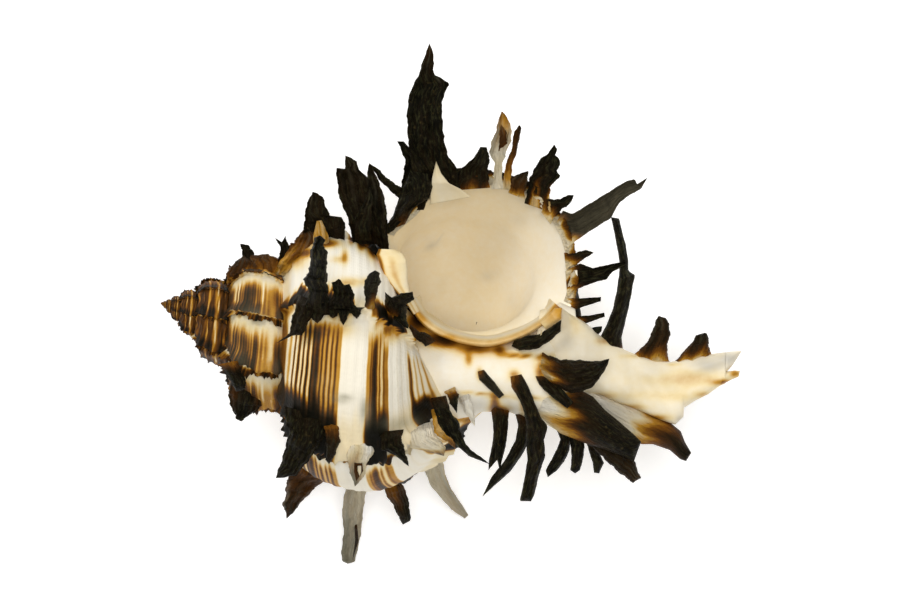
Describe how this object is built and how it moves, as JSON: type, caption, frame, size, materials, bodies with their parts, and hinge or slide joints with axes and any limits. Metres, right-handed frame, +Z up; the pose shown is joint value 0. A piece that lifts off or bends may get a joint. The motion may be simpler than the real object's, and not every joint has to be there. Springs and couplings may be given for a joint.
{
  "type": "murex shell",
  "caption": "Spiny murex sea shell with dark leafy fronds on its ridges, a round mouth facing up and a broad canal, lying on the tips of its under-side spines.",
  "frame": {"origin": "centre of the bounding box, on the surface that the shell rests on", "axes": "+X from the apex towards the end of the siphonal canal, +Y towards the longest spine of the lip, +Z up, out of the mouth"},
  "size_m": [0.0898, 0.0824, 0.0653],
  "materials": {
    "shell": "porcelain-like calcium carbonate: satin outside with brown bands and black fronds, smooth and glossy in the mouth"
  },
  "bodies": {
    "root": {"shell": "shell"}
  },
  "joints": []
}
